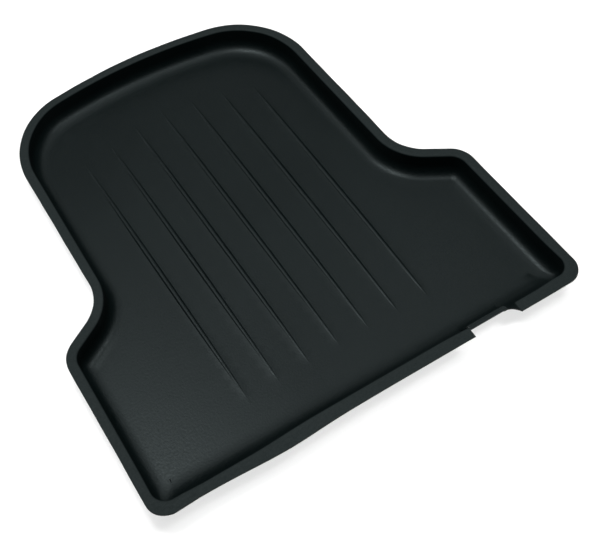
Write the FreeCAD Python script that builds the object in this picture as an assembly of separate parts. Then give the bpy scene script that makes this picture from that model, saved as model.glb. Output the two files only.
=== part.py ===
import FreeCAD, Part
import math
import os

from FreeCAD import Vector

# A drop-in bed tray, formed from one sheet of plastic, with grip pads under its floor.
# Units are millimetres.  +Z is up, +Y runs from the straight front edge to the rounded end,
# and the origin is the middle of the tray's plan, on the surface that the pads stand on.

# ---- driving dimensions ---------------------------------------------------------------
FRONT_WIDTH = 1000.0          # over the rim, where the front and side lines would meet
TRAY_LENGTH = 1034.0          # front edge to the crown of the rounded end
SIDE_LENGTH = 400.0           # front edge to the shoulders
SIDE_TAPER = 12.0             # how far each side leans in over that length
SHOULDER_STEP = 120.5         # how far each shoulder leads in to the neck
SHOULDER_SLANT = 72.0         # how far it leads back over that step
NECK_TAPER = 17.5             # how far each neck line leans in, up to the rounded end
END_BULGE = 52.0              # how far the crown stands out past the ends of the neck lines

FRONT_CORNER_RADIUS = 40.0    # plan radii, on the rim's outer edge
SHOULDER_RADIUS = 60.0
NECK_RADIUS = 101.0
BACK_CORNER_RADIUS = 184.0

SHEET = 3.0                   # thickness of the formed sheet
TRAY_DEPTH = 54.0             # rim face down to the floor
RIM_WIDTH = 20.0              # rim at the sides and the rounded end
FRONT_RIM_WIDTH = 27.0        # the rim is wider along the front
WALL_DRAFT = 4.0              # degrees off upright
FLOOR_RADIUS = 30.0           # inside radius from wall to floor
RIM_BEND_UNDER = 2.0          # inside radius of the bend from rim to wall, on its underside

RIB_COUNT = 7
RIB_SIDE_GAP = 77.8           # outermost rib's middle line to the floor radius of the neck's end
RIB_WIDTH = 12.0              # across the rib at mid length
RIB_HEIGHT = 3.0
RIB_FRONT_GAP = 145.0         # front edge to the near ends of the ribs
RIB_BACK_GAP = 116.0          # crown of the rounded end to the far end of the middle rib
RIB_END_ARC = 424.0           # radius of the arc on which the far ends lie

RELIEF_START = 218.0          # the lowered place in the front rim, from the middle line
RELIEF_END = 333.0
RELIEF_RAMP = 15.0            # run of its sloping end
RELIEF_DROP = 16.0            # how far its lip lies below the rim
RELIEF_INSET = 39.5           # front edge to the inside of its wall
RELIEF_LIP = 13.0             # width of the narrow lip that is left
RELIEF_TRIM = (2.5, 9.0)      # where the trim line bends on the ramp: along X, and from the front

PAD_LENGTH = 80.0             # grip pads, along Y
PAD_WIDTH = 50.0
PAD_THICKNESS = 2.0
PAD_CORNER = 8.0
PAD_EDGE_GAP = 12.0           # from the end of the floor radius to a pad's outer side
PAD_FRONT_GAP = 115.0         # front edge to the middle of the front pair
PAD_NECK_GAP = 8.0            # start of the neck to the middle of the middle pair
PAD_BACK_GAP = 234.0          # crown of the rounded end to the middle of the rear pair

# ---- values worked out from them ------------------------------------------------------
FRONT_Y = -TRAY_LENGTH / 2
FLOOR_Z = PAD_THICKNESS + SHEET
RIM_Z = FLOOR_Z + TRAY_DEPTH
LIP_Z = RIM_Z - RELIEF_DROP
RAMP_FOOT = RELIEF_END - RELIEF_RAMP
RIM_BEND = RIM_BEND_UNDER + SHEET

NECK_Y = SIDE_LENGTH + SHOULDER_SLANT
BACK_CORNER_Y = TRAY_LENGTH - END_BULGE
SIDE_HALF = FRONT_WIDTH / 2 - SIDE_TAPER
NECK_HALF = SIDE_HALF - SHOULDER_STEP
BACK_HALF = NECK_HALF - NECK_TAPER

DRAFT_RUN = math.tan(math.radians(WALL_DRAFT))     # how far a wall leans in per unit of depth
WALL_SHEET = SHEET / math.cos(math.radians(WALL_DRAFT))
FLOOR_INSET = RIM_WIDTH + TRAY_DEPTH * DRAFT_RUN + FLOOR_RADIUS
OUTER_RIB_X = BACK_HALF - FLOOR_INSET - RIB_SIDE_GAP
RIB_PITCH = 2 * OUTER_RIB_X / (RIB_COUNT - 1)
PAD_ROWS = {"front": PAD_FRONT_GAP, "middle": NECK_Y + PAD_NECK_GAP,
            "rear": TRAY_LENGTH - PAD_BACK_GAP}
MARGIN = 60.0                 # how far cutting blocks reach past the tray


def at(x, from_front, z=0.0):
    """A point given by its distance from the front edge."""
    return Vector(x, FRONT_Y + from_front, z)


def moved_line(start, end, inset):
    """The line from start to end, moved to its left by inset."""
    along = (end - start).normalize()
    left = Vector(-along.y, along.x, 0)
    return start + left * inset, along


def crossing(first, second):
    """Where two lines in the XY plane cross; each is a point and a direction."""
    (p, u), (q, v) = first, second
    gap = q - p
    reach = (gap.x * v.y - gap.y * v.x) / (u.x * v.y - u.y * v.x)
    return p + u * reach


def corner_arc(before, corner, after, radius):
    """Start, middle and end of the arc that rounds a corner."""
    u = (before - corner).normalize()
    v = (after - corner).normalize()
    half = math.acos(u.dot(v)) / 2
    bisector = (u + v).normalize()
    centre = corner + bisector * (radius / math.sin(half))
    reach = radius / math.tan(half)
    return corner + u * reach, centre - bisector * radius, corner + v * reach


def back_arc_centre():
    """Centre and radius of the arc across the rounded end."""
    radius = (BACK_HALF ** 2 + END_BULGE ** 2) / (2 * END_BULGE)
    return at(0, TRAY_LENGTH - radius), radius


def back_corner_arc(neck, inset):
    """The arc between a neck line and the arc of the rounded end."""
    middle, end_radius = back_arc_centre()
    radius = BACK_CORNER_RADIUS - inset
    start, along = neck
    inward = Vector(-along.y, along.x, 0)
    base = start + inward * radius - middle
    swing = end_radius - inset - radius
    run = -base.dot(along) + math.sqrt(base.dot(along) ** 2 - base.dot(base) + swing ** 2)
    centre = middle + base + along * run
    outward = (centre - middle).normalize()
    bisector = (outward - inward).normalize()
    return centre - inward * radius, centre + bisector * radius, centre + outward * radius


def mirrored(point):
    """The same point on the other side of the tray."""
    return Vector(-point.x, point.y, point.z)


def plan_wire(inset, front_inset, z):
    """The tray's outline, moved inwards by inset (and by front_inset at the front edge)."""
    corners = [at(FRONT_WIDTH / 2, 0), at(SIDE_HALF, SIDE_LENGTH),
               at(NECK_HALF, NECK_Y), at(BACK_HALF, BACK_CORNER_Y)]
    front = (at(0, front_inset), Vector(1, 0, 0))
    side, shoulder, neck = [moved_line(a, b, inset) for a, b in zip(corners, corners[1:])]
    front_corner = crossing(front, side)
    shoulder_corner = crossing(side, shoulder)
    neck_corner = crossing(shoulder, neck)
    middle, end_radius = back_arc_centre()
    crown = middle + Vector(0, end_radius - inset, 0)
    back = back_corner_arc(neck, inset)
    arcs = [corner_arc(at(0, front_inset), front_corner, shoulder_corner,
                       FRONT_CORNER_RADIUS - (inset + front_inset) / 2),
            corner_arc(front_corner, shoulder_corner, neck_corner, SHOULDER_RADIUS - inset),
            corner_arc(shoulder_corner, neck_corner, back[0], NECK_RADIUS + inset),
            back]
    left = [tuple(mirrored(p) for p in reversed(arc)) for arc in reversed(arcs)]
    edges = []
    for arc, following in zip(arcs + left, arcs[1:] + left + arcs[:1]):
        edges.append(Part.Arc(*arc).toShape())
        if arc is back:
            edges.append(Part.Arc(back[2], crown, mirrored(back[2])).toShape())
        else:
            edges.append(Part.makeLine(arc[2], following[0]))
    wire = Part.Wire(edges)
    wire.translate(Vector(0, 0, z))
    return wire


def flat_edges(shape, z):
    """The edges of a shape that lie level at height z."""
    tolerance = 1e-6
    return [edge for edge in shape.Edges
            if abs(edge.BoundBox.ZMax - z) < tolerance and abs(edge.BoundBox.ZMin - z) < tolerance]


def basin(inset, front_inset, floor_z, top_z, floor_radius):
    """A solid with drafted sides and a rounded lower edge; the insets hold at the rim face."""
    levels = []
    for z in (floor_z, top_z):
        run = (RIM_Z - z) * DRAFT_RUN
        levels.append(plan_wire(inset + run, front_inset + run, z))
    body = Part.makeLoft(levels, True, True)
    return body.makeFillet(floor_radius, flat_edges(body, floor_z))


def block(x0, x1, y0, y1, z0, z1):
    """A box between two corners, with y counted from the front edge."""
    return Part.makeBox(x1 - x0, y1 - y0, z1 - z0, at(x0, y0, z0))


def side_profile(points, y0, y1):
    """A solid with an outline in X and Z, reaching along Y between two distances from the front."""
    outline = [at(x, y0, z) for x, z in points]
    face = Part.Face(Part.makePolygon(outline + outline[:1]))
    return face.extrude(Vector(0, y1 - y0, 0))


# ---- the tray's shell -------------------------------------------------------------------
def along_wall(edge):
    """True for an edge at the top of the wall, false for one on the rim's outer edge."""
    outline = plan_wire(0, 0, edge.BoundBox.ZMin)
    return edge.distToShape(outline)[0] > RIM_BEND


def plain_shell():
    """The sheet before its ribs and relief, with the solids that bound it inside and outside."""
    cavity = basin(RIM_WIDTH, FRONT_RIM_WIDTH, FLOOR_Z, RIM_Z, FLOOR_RADIUS)
    outer = basin(RIM_WIDTH - WALL_SHEET, FRONT_RIM_WIDTH - WALL_SHEET, FLOOR_Z - SHEET,
                  RIM_Z - SHEET / 2, FLOOR_RADIUS + SHEET)
    rim = Part.Face(plan_wire(0, 0, RIM_Z - SHEET)).extrude(Vector(0, 0, SHEET))
    formed = rim.fuse(outer).removeSplitter()
    under = [edge for edge in flat_edges(formed, RIM_Z - SHEET) if along_wall(edge)]
    shell = formed.makeFillet(RIM_BEND_UNDER, under).cut(cavity)
    bend = [edge for edge in flat_edges(shell, RIM_Z) if along_wall(edge)]
    return shell.makeFillet(RIM_BEND, bend), cavity, outer


# ---- ribs -------------------------------------------------------------------------------
def rib_span(x):
    """The near and far ends of the rib at x, counted from the front edge."""
    bulge = RIB_END_ARC - math.sqrt(RIB_END_ARC ** 2 - x ** 2)
    return RIB_FRONT_GAP, TRAY_LENGTH - RIB_BACK_GAP - bulge


def rib_spindle(x):
    """A long spindle whose top stands out of the floor as one lens-shaped rib."""
    near, far = rib_span(x)
    half_width = RIB_WIDTH / 2
    thickest = (half_width ** 2 + RIB_HEIGHT ** 2) / (2 * RIB_HEIGHT)
    axis_z = FLOOR_Z + RIB_HEIGHT - thickest
    near_end, far_end = at(x, near, FLOOR_Z), at(x, far, FLOOR_Z)
    crest = at(x, (near + far) / 2, FLOOR_Z + RIB_HEIGHT)
    near_axis, far_axis = at(x, near, axis_z), at(x, far, axis_z)
    profile = Part.Wire([Part.Arc(near_end, crest, far_end).toShape(),
                         Part.makeLine(far_end, far_axis),
                         Part.makeLine(far_axis, near_axis),
                         Part.makeLine(near_axis, near_end)])
    return Part.Face(profile).revolve(near_axis, Vector(0, 1, 0), 360)


def add_ribs(shell):
    """Press the ribs up from below: a crest on the floor and a groove under it."""
    spindles = [rib_spindle(index * RIB_PITCH - OUTER_RIB_X) for index in range(RIB_COUNT)]
    floor_slab = block(-FRONT_WIDTH / 2, FRONT_WIDTH / 2, 0, TRAY_LENGTH,
                       FLOOR_Z - SHEET / 2, FLOOR_Z + RIB_HEIGHT + SHEET)
    crests = [spindle.common(floor_slab) for spindle in spindles]
    grooves = [spindle.translated(Vector(0, 0, -SHEET)) for spindle in spindles]
    return shell.fuse(crests).cut(grooves)


# ---- relief in the front rim ------------------------------------------------------------
def relief_block(skin):
    """The drafted block that sets the wall in, shrunk by skin to give the sheet's far side."""
    top = LIP_Z - skin
    levels = []
    for z in (0, top):
        grow = (top - z) * DRAFT_RUN - skin
        left, right, wall = RELIEF_START - grow, RAMP_FOOT + grow, RELIEF_INSET + grow
        levels.append(Part.makePolygon([at(left, -MARGIN, z), at(right, -MARGIN, z), at(right, wall, z),
                                        at(left, wall, z), at(left, -MARGIN, z)]))
    return Part.makeLoft(levels, True, True)


def relief_lip():
    """The lowered lip with its upright end and its ramp, trimmed along its outer edge."""
    ramp_sheet = SHEET / math.cos(math.atan2(RELIEF_DROP, RELIEF_RAMP))
    lag = (ramp_sheet - SHEET) * RELIEF_RAMP / RELIEF_DROP
    lip = side_profile([(RELIEF_START - SHEET, RIM_Z), (RELIEF_START, RIM_Z), (RELIEF_START, LIP_Z),
                        (RAMP_FOOT, LIP_Z), (RELIEF_END, RIM_Z), (RELIEF_END + lag, RIM_Z),
                        (RELIEF_END + lag, RIM_Z - SHEET), (RAMP_FOOT + lag, LIP_Z - SHEET),
                        (RELIEF_START - SHEET, LIP_Z - SHEET)], 0, RELIEF_INSET)
    bend_back, bend_depth = RELIEF_TRIM
    lip_front = RELIEF_INSET - RELIEF_LIP
    left = RELIEF_START - SHEET
    trim = Part.makePolygon([at(left, -MARGIN), at(RELIEF_END, -MARGIN), at(RELIEF_END, 0),
                             at(RELIEF_END - bend_back, bend_depth), at(RAMP_FOOT, lip_front),
                             at(left, lip_front), at(left, -MARGIN)])
    return lip.cut(Part.Face(trim).extrude(Vector(0, 0, RIM_Z + MARGIN)))


def add_relief(shell, cavity, outer):
    """Lower a stretch of the front rim and set the wall below it in."""
    slot = side_profile([(RELIEF_START, RIM_Z + MARGIN), (RELIEF_START, LIP_Z), (RAMP_FOOT, LIP_Z),
                         (RELIEF_END, RIM_Z), (RELIEF_END, RIM_Z + MARGIN)], -MARGIN, RELIEF_INSET)
    inset_wall = relief_block(0).common(outer)
    lip = relief_lip().cut(cavity)
    return shell.fuse([inset_wall, lip]).cut([slot, relief_block(SHEET)]).removeSplitter()


# ---- grip pads --------------------------------------------------------------------------
def half_width(from_front):
    """Half of the width over the rim, at a distance from the front edge beside a side or the neck."""
    if from_front < SIDE_LENGTH:
        return FRONT_WIDTH / 2 - SIDE_TAPER * from_front / SIDE_LENGTH
    return NECK_HALF - NECK_TAPER * (from_front - NECK_Y) / (BACK_CORNER_Y - NECK_Y)


def grip_pad(side, from_front):
    """One pad stuck under the flat of the floor; side is -1 for left and 1 for right."""
    x = side * (half_width(from_front) - FLOOR_INSET - PAD_EDGE_GAP - PAD_WIDTH / 2)
    pad = block(x - PAD_WIDTH / 2, x + PAD_WIDTH / 2, from_front - PAD_LENGTH / 2,
                from_front + PAD_LENGTH / 2, 0, PAD_THICKNESS)
    upright = [edge for edge in pad.Edges if edge.BoundBox.ZLength > PAD_THICKNESS / 2]
    return pad.makeFillet(PAD_CORNER, upright)


def build():
    """All nodes of the tray, by name."""
    shell, cavity, outer = plain_shell()
    nodes = {"liner_tray": add_ribs(add_relief(shell, cavity, outer))}
    for row, from_front in PAD_ROWS.items():
        for side_name, side in (("left", -1), ("right", 1)):
            nodes[f"grip_pad_{row}_{side_name}"] = grip_pad(side, from_front)
    return nodes


os.makedirs("parts", exist_ok=True)
for name, shape in build().items():
    print(name, "valid", shape.isValid(), "solids", len(shape.Solids), "volume", round(shape.Volume))
    shape.exportStep(f"parts/{name}.step")
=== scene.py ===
"""Looks of a drop-in bed tray, formed from one sheet of black plastic, with rubber grip pads below."""
import logging
import math
from dataclasses import dataclass, field
from enum import Enum
from typing import Any

import bmesh
import bpy
from mathutils import Matrix, Vector
from mathutils.geometry import delaunay_2d_cdt


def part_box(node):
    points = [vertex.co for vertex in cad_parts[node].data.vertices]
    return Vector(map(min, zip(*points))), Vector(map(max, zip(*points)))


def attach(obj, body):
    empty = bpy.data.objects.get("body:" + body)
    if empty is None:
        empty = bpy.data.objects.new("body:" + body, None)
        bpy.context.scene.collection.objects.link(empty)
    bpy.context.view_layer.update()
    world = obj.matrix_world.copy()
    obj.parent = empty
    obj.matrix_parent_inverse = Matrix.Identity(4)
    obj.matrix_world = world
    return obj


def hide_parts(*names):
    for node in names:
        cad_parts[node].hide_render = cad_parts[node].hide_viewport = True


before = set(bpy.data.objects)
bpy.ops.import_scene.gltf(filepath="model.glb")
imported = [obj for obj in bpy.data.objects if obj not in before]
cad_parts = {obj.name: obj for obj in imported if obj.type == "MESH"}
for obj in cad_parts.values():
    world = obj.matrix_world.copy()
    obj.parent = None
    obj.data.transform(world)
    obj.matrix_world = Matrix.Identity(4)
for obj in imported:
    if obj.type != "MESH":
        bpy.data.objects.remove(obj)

MM = 0.001
PAD_ROWS = ("front", "middle", "rear")
PAD_SIDES = ("left", "right")
PAD_NODES = [f"grip_pad_{row}_{side}" for row in PAD_ROWS for side in PAD_SIDES]

Colour = tuple[float, float, float]
Step = tuple[float, float]                  # where a smooth step starts and ends
Line = tuple[Vector, Vector]                # a point and a direction

log = logging.getLogger("tray")


# ---- small helpers --------------------------------------------------------------------------
def mix(low: float, high: float, share: float) -> float:
    """The value a share of the way from low to high."""
    return low + (high - low) * share


def ease(value: float, start: float, end: float) -> float:
    """0 before start, 1 after end, and a smooth rise between them."""
    share = min(max((value - start) / (end - start), 0.0), 1.0)
    return share * share * (3 - 2 * share)


@dataclass(frozen=True)
class Change:
    """A smooth change between two places."""

    start: float
    end: float
    amount: float = 1.0

    def at(self, value: float) -> float:
        """0 before the start, the whole amount after the end."""
        return self.amount * ease(value, self.start, self.end)


@dataclass(frozen=True)
class Swell:
    """A smooth bump round one place, which has almost gone at twice its reach."""

    middle: float
    reach: float
    amount: float

    def at(self, value: float) -> float:
        """The bump's height at a value."""
        return self.amount * math.exp(-((value - self.middle) / self.reach) ** 2)


# ---- shader expressions ---------------------------------------------------------------------
@dataclass(frozen=True)
class Speckle:
    """Noise of one size: its cells per metre, its octaves of finer cells and how strong those are."""

    per_metre: float
    detail: float = 2.0
    roughness: float = 0.5


@dataclass(frozen=True)
class Bump:
    """How strongly, and how many metres deep, a pattern is pressed into a surface."""

    strength: float
    depth: float


class Value:
    """A socket that can stand in a Python expression; each operator adds its Math node."""

    NOISE_MIDDLE = 0.5

    def __init__(self, sheet: "ShaderSheet", socket: bpy.types.NodeSocket) -> None:
        """Keeps a material's node sheet and an output of it that carries a number."""
        self.sheet = sheet
        self.socket = socket

    def _math(self, operation: str, first: Any, second: Any) -> "Value":
        """The result of one Math node."""
        return self.sheet.value("ShaderNodeMath", {"operation": operation}, {0: first, 1: second})

    def __add__(self, other: Any) -> "Value":
        """self + other."""
        return self._math("ADD", self, other)

    __radd__ = __add__

    def __sub__(self, other: Any) -> "Value":
        """self - other."""
        return self._math("SUBTRACT", self, other)

    def __rsub__(self, other: Any) -> "Value":
        """other - self."""
        return self._math("SUBTRACT", other, self)

    def __mul__(self, other: Any) -> "Value":
        """self * other."""
        return self._math("MULTIPLY", self, other)

    __rmul__ = __mul__

    def swing(self) -> "Value":
        """How far noise from 0 to 1 lies above or below its middle."""
        return self - self.NOISE_MIDDLE

    def between(self, low: float, high: float) -> "Value":
        """A smooth step: 0 up to low, 1 from high on."""
        return self.sheet.value("ShaderNodeMapRange", {"interpolation_type": "SMOOTHSTEP"},
                                {"Value": self, "From Min": low, "From Max": high})


class ShaderSheet:
    """The node sheet of one material, filled from Python."""

    COLOUR_INPUTS = (6, 7)                  # where a Mix node takes its two colours
    COLOUR_OUTPUT = 2                       # where it gives the mixed one
    OPAQUE = 1.0

    def __init__(self, name: str) -> None:
        """Starts an empty sheet.

        Args:
            name: the material's name.
        """
        self.material = bpy.data.materials.new(name)
        self.material.use_nodes = True
        self.tree = self.material.node_tree
        self.tree.nodes.clear()

    def node(self, kind: str, settings: dict[str, Any], inputs: dict[Any, Any]) -> bpy.types.Node:
        """Adds one node.

        Args:
            kind: the node's type.
            settings: properties, set before anything else.
            inputs: values or links by socket name or number.

        Returns:
            The node.
        """
        made = self.tree.nodes.new(kind)
        for name, setting in settings.items():
            setattr(made, name, setting)
        for key, given in inputs.items():
            source = given.socket if isinstance(given, Value) else given
            if isinstance(source, bpy.types.NodeSocket):
                self.tree.links.new(source, made.inputs[key])
            else:
                made.inputs[key].default_value = source
        return made

    def value(self, kind: str, settings: dict[str, Any], inputs: dict[Any, Any],
              output: Any = 0) -> Value:
        """One node's output as a value for expressions."""
        return Value(self, self.node(kind, settings, inputs).outputs[output])

    def place(self) -> bpy.types.NodeSocket:
        """Position on the piece, in metres."""
        return self.node("ShaderNodeTexCoord", {}, {}).outputs["Object"]

    def stretched(self, place: bpy.types.NodeSocket, scale: tuple[float, float, float],
                  turn: float = 0.0) -> bpy.types.NodeSocket:
        """The position turned about Z and scaled on each axis."""
        inputs = {"Vector": place, "Rotation": (0.0, 0.0, turn), "Scale": scale}
        return self.node("ShaderNodeMapping", {}, inputs).outputs["Vector"]

    def height_of(self, place: bpy.types.NodeSocket) -> Value:
        """The Z of a position."""
        return self.value("ShaderNodeSeparateXYZ", {}, {0: place}, "Z")

    def noise(self, place: bpy.types.NodeSocket, speckle: Speckle) -> Value:
        """Noise from 0 to 1 over a position."""
        inputs = {"Vector": place, "Scale": speckle.per_metre, "Detail": speckle.detail,
                  "Roughness": speckle.roughness}
        return self.value("ShaderNodeTexNoise", {"noise_dimensions": "3D"}, inputs, "Fac")

    def blend(self, share: Any, first: Any, second: Any) -> bpy.types.NodeSocket:
        """Mixes two colours.

        Args:
            share: how far the mix has come from the first to the second.
            first: a colour or a socket that carries one.
            second: the other colour or socket.

        Returns:
            The socket of the mixed colour.
        """
        made = self.node("ShaderNodeMix", {"data_type": "RGBA"}, {"Factor": share})
        for key, colour in zip(self.COLOUR_INPUTS, (first, second)):
            if isinstance(colour, bpy.types.NodeSocket):
                self.tree.links.new(colour, made.inputs[key])
            else:
                made.inputs[key].default_value = (*colour, self.OPAQUE)
        return made.outputs[self.COLOUR_OUTPUT]

    def bumped(self, layers: list[tuple[Value, Bump]]) -> bpy.types.NodeSocket:
        """A normal with several bump layers on top of each other.

        Args:
            layers: the height of each and how it is pressed in.

        Returns:
            The normal.
        """
        normal = None
        for height, bump in layers:
            inputs = {"Height": height, "Strength": bump.strength, "Distance": bump.depth}
            if normal is not None:
                inputs["Normal"] = normal
            normal = self.node("ShaderNodeBump", {}, inputs).outputs["Normal"]
        return normal

    def finished(self, surface: dict[str, Any]) -> bpy.types.Material:
        """Ends the sheet in one Principled surface.

        Args:
            surface: values or links of its sockets.

        Returns:
            The material.
        """
        skin = self.node("ShaderNodeBsdfPrincipled", {}, surface)
        self.node("ShaderNodeOutputMaterial", {}, {"Surface": skin.outputs["BSDF"]})
        return self.material


# ---- finishes -------------------------------------------------------------------------------
@dataclass(frozen=True)
class Scratches:
    """Thin scratches that all run one way."""

    cells: tuple[float, float, float]       # cells per metre on the turned axes
    turn: float
    step: Step                              # the higher it lies, the fewer they are
    speckle: Speckle = Speckle(1.0, 3.0, 0.65)

    def over(self, sheet: ShaderSheet, place: bpy.types.NodeSocket) -> Value:
        """1 in a scratch, 0 beside it."""
        lines = sheet.noise(sheet.stretched(place, self.cells, self.turn), self.speckle)
        return lines.between(*self.step)


@dataclass(frozen=True)
class FormedPlastic:
    """Satin black sheet, with a fine grain pressed in, light marks of handling, and a rim face that is
    paler partly in its own colour and partly as painted light.
    """

    dark: Colour = (0.0012, 0.0048, 0.0050)
    worn: Colour = (0.0034, 0.0086, 0.0088)
    # Colour of the rim's face: partly its paler, less stretched sheet, partly painted light for the
    # brightness its open face catches where no wall shades it.
    paler_rim_and_painted_light: Colour = (0.031, 0.042, 0.042)
    scuffed: Colour = (0.045, 0.047, 0.046)
    sheen: tuple[float, float, float, float] = (0.84, 0.985, 1.0, 1.0)
    refraction: float = 1.5
    roughness: float = 0.43
    grain: Speckle = Speckle(620.0, 3.0, 0.6)
    pebble: Speckle = Speckle(620.0 / 3, 2.0)
    cloud: Speckle = Speckle(5.0, 4.0, 0.55)
    patch: Speckle = Speckle(23.0, 3.0)     # where the scratches gather
    sway: Speckle = Speckle(9.0, 1.0)       # slow unevenness of the sheet
    drawn: Scratches = Scratches((260.0, 7.0, 40.0), 0.5, (0.70, 0.76))
    crossed: Scratches = Scratches((300.0, 9.0, 40.0), -0.9, (0.71, 0.77))
    patch_step: Step = (0.52, 0.66)
    cloud_step: Step = (0.30, 0.72)
    grain_step: Step = (0.42, 0.66)
    cloud_tone: float = 0.45                # shares that turn dark into worn
    grain_tone: float = 0.35
    rim_tone: float = 0.75                  # share of the rim face's colour on the rim's face: partly the sheet's paler colour, partly painted light
    rim_speckle: float = 1.2                # and how much the grain changes it
    scuff_tone: float = 0.35
    cloud_rough: float = 0.16               # changes of the roughness
    grain_rough: float = 0.12
    pebble_rough: float = 0.35
    rim_rough: float = 0.30
    scuff_rough: float = 0.10
    sway_bump: Bump = Bump(0.12, 2.0 * MM)
    pebble_bump: Bump = Bump(0.45, 0.5 * MM)
    grain_bump: Bump = Bump(0.26, 0.22 * MM)
    rim_from: float = 3.0 * MM              # depths below the rim's face between which its look sets in
    rim_to: float = 1.0 * MM

    def material(self, rim_height: float) -> bpy.types.Material:
        """The finish of the tray's faces.

        Args:
            rim_height: height of the rim's face, where the sheet is rougher, and paler partly in its own
                colour and partly as painted light.

        Returns:
            The material.
        """
        sheet = ShaderSheet("formed_plastic")
        place = sheet.place()
        grain = sheet.noise(place, self.grain)
        pebble = sheet.noise(place, self.pebble)
        cloud = sheet.noise(place, self.cloud)
        patch = sheet.noise(place, self.patch)
        sway = sheet.noise(place, self.sway)
        rim = sheet.height_of(place).between(rim_height - self.rim_from, rim_height - self.rim_to)
        scratches = self.drawn.over(sheet, place) + self.crossed.over(sheet, place)
        scuffs = scratches * patch.between(*self.patch_step)
        tone = (cloud.between(*self.cloud_step) * self.cloud_tone
                + grain.between(*self.grain_step) * self.grain_tone)
        colour = sheet.blend(tone, self.dark, self.worn)
        # Painted light in part: the rim's face is blended towards a paler colour, partly the sheet's own
        # and partly the light its open face catches.
        paler_rim_and_painted_light_share = rim * (self.rim_tone + grain.swing() * self.rim_speckle)
        colour = sheet.blend(paler_rim_and_painted_light_share, colour, self.paler_rim_and_painted_light)
        colour = sheet.blend(scuffs * self.scuff_tone, colour, self.scuffed)
        rough = (self.roughness + cloud.swing() * self.cloud_rough + grain.swing() * self.grain_rough
                 + pebble.swing() * self.pebble_rough + rim * self.rim_rough
                 + scuffs * self.scuff_rough)
        normal = sheet.bumped([(sway, self.sway_bump), (pebble, self.pebble_bump),
                               (grain, self.grain_bump)])
        return sheet.finished({"Base Color": colour, "Roughness": rough, "IOR": self.refraction,
                               "Specular Tint": self.sheen, "Normal": normal})


@dataclass(frozen=True)
class CutEdge:
    """The sawn edge of the sheet: matt, with fine marks along it."""

    dark: Colour = (0.003, 0.003, 0.0032)
    torn: Colour = (0.012, 0.012, 0.012)
    roughness: float = 0.62
    shine: float = 0.12
    saw_cells: tuple[float, float, float] = (90.0, 90.0, 900.0)
    saw: Speckle = Speckle(1.0, 3.0, 0.6)
    saw_step: Step = (0.45, 0.75)
    saw_bump: Bump = Bump(0.5, 0.3 * MM)
    grit: Speckle = Speckle(700.0, 2.0)
    grit_rough: float = 0.2
    grit_bump: Bump = Bump(0.4, 0.2 * MM)

    def material(self) -> bpy.types.Material:
        """Makes the finish of the trimmed edge.

        Returns:
            The material.
        """
        sheet = ShaderSheet("cut_edge")
        place = sheet.place()
        saw = sheet.noise(sheet.stretched(place, self.saw_cells), self.saw)
        grit = sheet.noise(place, self.grit)
        colour = sheet.blend(saw.between(*self.saw_step), self.dark, self.torn)
        normal = sheet.bumped([(saw, self.saw_bump), (grit, self.grit_bump)])
        return sheet.finished({"Base Color": colour,
                               "Roughness": self.roughness + grit.swing() * self.grit_rough,
                               "Specular IOR Level": self.shine, "Normal": normal})


@dataclass(frozen=True)
class PadRubber:
    """Matt black rubber with dust caught in it."""

    dark: Colour = (0.012, 0.012, 0.012)
    dusty: Colour = (0.045, 0.043, 0.040)
    roughness: float = 0.82
    crumb: Speckle = Speckle(900.0, 3.0, 0.6)
    crumb_step: Step = (0.5, 0.7)
    crumb_tone: float = 0.2
    crumb_bump: Bump = Bump(0.45, 0.15 * MM)
    dust: Speckle = Speckle(60.0, 4.0, 0.6)
    dust_step: Step = (0.45, 0.75)
    dust_tone: float = 0.6
    dust_rough: float = 0.15
    dust_bump: Bump = Bump(0.15, 0.3 * MM)

    def material(self) -> bpy.types.Material:
        """Makes the finish of the grip pads.

        Returns:
            The material.
        """
        sheet = ShaderSheet("pad_rubber")
        place = sheet.place()
        crumb = sheet.noise(place, self.crumb)
        dust = sheet.noise(place, self.dust)
        tone = (dust.between(*self.dust_step) * self.dust_tone
                + crumb.between(*self.crumb_step) * self.crumb_tone)
        colour = sheet.blend(tone, self.dark, self.dusty)
        normal = sheet.bumped([(dust, self.dust_bump), (crumb, self.crumb_bump)])
        rough = self.roughness + dust.swing() * self.dust_rough
        return sheet.finished({"Base Color": colour, "Roughness": rough, "Normal": normal})


@dataclass(frozen=True)
class StudioPaper:
    """Plain pale paper for the floor of the studio."""

    pale: Colour = (0.86, 0.86, 0.855)
    shade: Colour = (0.83, 0.83, 0.83)
    roughness: float = 0.85
    shine: float = 0.1
    cloud: Speckle = Speckle(2.0, 2.0)
    fibre: Speckle = Speckle(400.0, 3.0)
    fibre_rough: float = 0.1
    fibre_bump: Bump = Bump(0.1, 0.1 * MM)

    def material(self) -> bpy.types.Material:
        """Makes the finish of the studio's floor.

        Returns:
            The material.
        """
        sheet = ShaderSheet("studio_paper")
        place = sheet.place()
        fibre = sheet.noise(place, self.fibre)
        cloud = sheet.noise(place, self.cloud)
        colour = sheet.blend(cloud, self.pale, self.shade)
        return sheet.finished({"Base Color": colour,
                               "Roughness": self.roughness + fibre.swing() * self.fibre_rough,
                               "Specular IOR Level": self.shine,
                               "Normal": sheet.bumped([(fibre, self.fibre_bump)])})


# ---- plan of the tray -----------------------------------------------------------------------
def moved_line(start: Vector, end: Vector, inset: float) -> Line:
    """The line from start to end, moved to its left."""
    along = (end - start).normalized()
    return start + Vector((-along.y, along.x)) * inset, along


def crossing(first: Line, second: Line) -> Vector:
    """Finds where two lines cross.

    Args:
        first: one line.
        second: the other, which is not parallel to it.

    Returns:
        The point that lies on both.
    """
    (p, u), (q, v) = first, second
    gap = q - p
    return p + u * ((gap.x * v.y - gap.y * v.x) / (u.x * v.y - u.y * v.x))


def straight(start: Vector, end: Vector, steps: int) -> list[Vector]:
    """Points between start and end, without the two ends."""
    return [start.lerp(end, step / steps) for step in range(1, steps)]


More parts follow.
